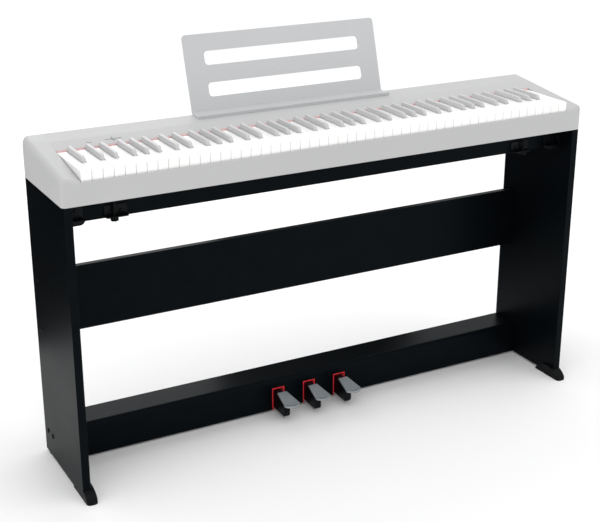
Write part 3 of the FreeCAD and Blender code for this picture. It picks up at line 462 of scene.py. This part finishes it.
# Distance behind the nose, drop of the top and draw of the sides there, in millimetres.
NOSE_STEPS = ((0.0, 10.4, 1.5), (0.7, 8.2, 0.9), (2.0, 5.4, 0.5), (3.8, 3.0, 0.2), (6.2, 1.2, 0.0),
              (9.5, 0.3, 0.0), (14.0, 0.0, 0.0))


def sharp_rings(low, high):
    """Slices of one black key from its rounded nose back: sides that lean in, and a soft crown."""
    middle = (low.x + high.x) / 2
    base_half = (high.x - low.x) / 2
    rear = high.y - SHARP_TAIL
    stations = [(low.y + y * MM, drop * MM, pinch * MM) for y, drop, pinch in NOSE_STEPS] + [(rear, 0.0, 0.0)]
    rings = []
    for y, drop, pinch in stations:
        top = high.z - drop
        white = min(high.z - SHARP_ABOVE_WHITE, top - SHARP_CROWN / 2)
        base, crown = base_half - pinch, SHARP_TOP_HALF - pinch
        bend = min(SHARP_CROWN, top - white)
        right = [(base, low.z), (base, white), (crown, top - bend), (crown - 0.3 * bend, top - 0.3 * bend),
                 (crown - bend, top)]
        left = [(-x, z) for x, z in reversed(right)]
        rings.append([(middle + x, y, z) for x, z in right + left])
    return rings


def shank_rings(low, high):
    top = high.z - SHARP_SHANK_BELOW_TOP
    ring = [(low.x, low.z), (high.x, low.z), (high.x, top), (low.x, top)]
    return [[(x, y, z) for x, z in ring] for y in (high.y - SHARP_TAIL, high.y)]


def mould_sharps(finish):
    for node in SHARPS + ("low_black_keys", "high_black_keys"):
        boxes = solid_boxes(node)

        def build(shape):
            for low, high in boxes:
                skin(shape, sharp_rings(low, high))
                skin(shape, shank_rings(low, high))

        keep_piece(node + "_moulding", mesh_from(build), finish, node, (node,))


# --- Repeated fasteners ------------------------------------------------------------------------------
BOLT_SHANK_RADIUS = 3.0 * MM
BOLT_SHANK_LENGTH = 45 * MM
BOLT_HEAD_RADIUS = 6.0 * MM
BOLT_HEAD_HEIGHT = 1.8 * MM
BOLT_SOCKET_CORNER = 2.9 * MM
BOLT_SOCKET_LEVELS = (1.6 * MM, 0.3 * MM)
# Radius and height of the domed rim, from the seat's edge to the edge of the socket.
BOLT_DOME = ((5.6 * MM, 1.3 * MM), (4.7 * MM, BOLT_HEAD_HEIGHT), (3.3 * MM, BOLT_HEAD_HEIGHT))
BOLT_RIM = 0.6 * MM
SCREW_SHANK_RADIUS = 1.8 * MM
SCREW_SHANK_LENGTH = 10 * MM
SCREW_HEAD_RADIUS = 4.5 * MM
SCREW_HEAD_HEIGHT = 2.6 * MM
SCREW_RIM = 1.2 * MM
SCREW_DOME = ((4.0 * MM, 2.1 * MM), (3.0 * MM, SCREW_HEAD_HEIGHT))
SCREW_CROSS_DEPTH = 0.9 * MM
SCREW_CROSS_FLOOR = 0.85
SCREW_CROSS_ARM = 2.4
SCREW_CROSS_CORNER = 0.75
SCREW_CROSS_FLANK = 1.5
SCREW_SIDES = 16


def fastener_group():
    """Puts one fastener on every point, turned by the point's own turn, and gives it its finish."""
    tree = bpy.data.node_groups.new("fasteners_on_points", "GeometryNodeTree")
    sockets = tree.interface
    sockets.new_socket("Geometry", in_out="INPUT", socket_type="NodeSocketGeometry")
    sockets.new_socket("Fastener", in_out="INPUT", socket_type="NodeSocketObject")
    sockets.new_socket("Size", in_out="INPUT", socket_type="NodeSocketFloat")
    sockets.new_socket("Finish", in_out="INPUT", socket_type="NodeSocketMaterial")
    sockets.new_socket("Geometry", in_out="OUTPUT", socket_type="NodeSocketGeometry")
    entry = tree.nodes.new("NodeGroupInput")
    leave = tree.nodes.new("NodeGroupOutput")
    source = tree.nodes.new("GeometryNodeObjectInfo")
    turn = tree.nodes.new("GeometryNodeInputNamedAttribute")
    turn.data_type = "FLOAT_VECTOR"
    turn.inputs["Name"].default_value = "turn"
    euler = tree.nodes.new("FunctionNodeEulerToRotation")
    place = tree.nodes.new("GeometryNodeInstanceOnPoints")
    real = tree.nodes.new("GeometryNodeRealizeInstances")
    paint = tree.nodes.new("GeometryNodeSetMaterial")
    tree.links.new(entry.outputs["Fastener"], source.inputs["Object"])
    tree.links.new(turn.outputs["Attribute"], euler.inputs["Euler"])
    tree.links.new(entry.outputs["Geometry"], place.inputs["Points"])
    tree.links.new(source.outputs["Geometry"], place.inputs["Instance"])
    tree.links.new(euler.outputs["Rotation"], place.inputs["Rotation"])
    tree.links.new(entry.outputs["Size"], place.inputs["Scale"])
    tree.links.new(place.outputs["Instances"], real.inputs["Geometry"])
    tree.links.new(real.outputs["Geometry"], paint.inputs["Geometry"])
    tree.links.new(entry.outputs["Finish"], paint.inputs["Material"])
    tree.links.new(paint.outputs["Geometry"], leave.inputs["Geometry"])
    return tree


def set_input(modifier, tree, name, value):
    for item in tree.interface.items_tree:
        if item.name == name and item.in_out == "INPUT":
            modifier[item.identifier] = value


def place_fasteners(name, tree, fastener, places, finish, replaced):
    """places are (point, turn) pairs; the instanced result is kept as a plain mesh."""
    scene = bpy.context.scene
    source = bpy.data.objects.new("fastener_source", fastener)
    scene.collection.objects.link(source)
    dots = bpy.data.meshes.new("fastener_points")
    dots.from_pydata([tuple(point) for point, _ in places], [], [])
    turns = dots.attributes.new("turn", "FLOAT_VECTOR", "POINT")
    for n, (_, turn) in enumerate(places):
        turns.data[n].vector = turn
    holder = bpy.data.objects.new("fastener_points", dots)
    scene.collection.objects.link(holder)
    modifier = holder.modifiers.new("fasteners", "NODES")
    modifier.node_group = tree
    set_input(modifier, tree, "Fastener", source)
    set_input(modifier, tree, "Size", 1.0)
    set_input(modifier, tree, "Finish", finish)
    mesh = bpy.data.meshes.new_from_object(holder.evaluated_get(bpy.context.evaluated_depsgraph_get()))
    holder.modifiers.remove(modifier)
    bpy.data.objects.remove(holder)
    bpy.data.objects.remove(source)
    keep_piece(name, mesh, finish, ROOT, (replaced,))


def ring_of(radius, height, sides):
    steps = [2 * math.pi * n / sides for n in range(sides)]
    return [(radius * math.cos(step), radius * math.sin(step), height) for step in steps]


def headed_shank(shank_radius, shank_length, head_radius, rim, dome, sides):
    """Rings of a fastener from its tip to its seat, then up its rim and over its dome."""
    low = [(shank_radius, -shank_length), (shank_radius, 0.0), (head_radius, 0.0), (head_radius, rim)]
    return [ring_of(radius, height, sides) for radius, height in low + list(dome)]


def button_head():
    """Socket-head bolt standing along +Z from its seat: shank below, domed rim, hexagon recess."""
    sides = 4 * SOCKET_SIDES
    rings = headed_shank(BOLT_SHANK_RADIUS, BOLT_SHANK_LENGTH, BOLT_HEAD_RADIUS, BOLT_RIM, BOLT_DOME, sides)
    inner = []
    for height in BOLT_SOCKET_LEVELS:
        row = []
        for n in range(sides):
            angle = 2 * math.pi * n / sides
            part = angle % (2 * math.pi / SOCKET_SIDES) - math.pi / SOCKET_SIDES
            flat = BOLT_SOCKET_CORNER * math.cos(math.pi / SOCKET_SIDES) / math.cos(part)
            row.append((flat * math.cos(angle), flat * math.sin(angle), height))
        inner.append(row)
    return mesh_from(lambda shape: skin(shape, rings + inner))


def pan_head():
    """Cross-recessed screw standing along +Z from its seat, its shank below."""
    sides = SCREW_SIDES
    rings = headed_shank(SCREW_SHANK_RADIUS, SCREW_SHANK_LENGTH, SCREW_HEAD_RADIUS, SCREW_RIM,
                         SCREW_DOME, sides)
    cross = []
    floor = SCREW_HEAD_HEIGHT - SCREW_CROSS_DEPTH
    for height, scale in ((SCREW_HEAD_HEIGHT, 1.0), (floor, SCREW_CROSS_FLOOR)):
        row = []
        for n, (x, y, _) in enumerate(ring_of(1.0, 0.0, sides)):
            if n % 4 == 0:
                share = SCREW_CROSS_ARM
            elif n % 2:
                share = SCREW_CROSS_FLANK
            else:
                share = SCREW_CROSS_CORNER
            reach = share * MM * scale
            row.append((reach * x, reach * y, height))
        cross.append(row)
    return mesh_from(lambda shape: skin(shape, rings + cross))


def bolt_places():
    """The seat of each panel bolt, on the outer face of its side panel."""
    places = []
    for low, high in solid_boxes("panel_bolts"):
        right = high.x > 0
        outer = high.x - BOLT_HEAD_HEIGHT if right else low.x + BOLT_HEAD_HEIGHT
        turn = (0.0, math.pi / 2 if right else -math.pi / 2, 0.0)
        places.append(((outer, (low.y + high.y) / 2, (low.z + high.z) / 2), turn))
    return places


def screw_places():
    """The seat of each bracket screw: its head is the end towards the player or towards the middle."""
    places = []
    head = SCREW_HEAD_HEIGHT
    for low, high in solid_boxes("bracket_screws"):
        middle = (low + high) / 2
        if high.y - low.y > high.x - low.x:
            places.append(((middle.x, low.y + head, middle.z), (math.pi / 2, 0.0, 0.0)))
        elif middle.x > 0:
            places.append(((low.x + head, middle.y, middle.z), (0.0, -math.pi / 2, 0.0)))
        else:
            places.append(((high.x - head, middle.y, middle.z), (0.0, math.pi / 2, 0.0)))
    return places


place_camera()
light_studio()
lay_floor()
stand_dark_cards()
finishes = make_finishes()
dress_cad_nodes(finishes)
mould_cheeks(finishes["grey_case"])
mould_sharps(finishes["grey_sharp"])
fasteners = fastener_group()
place_fasteners("panel_bolt_heads", fasteners, button_head(), bolt_places(), finishes["black_plastic"],
                "panel_bolts")
place_fasteners("bracket_screw_heads", fasteners, pan_head(), screw_places(), finishes["black_paint"],
                "bracket_screws")
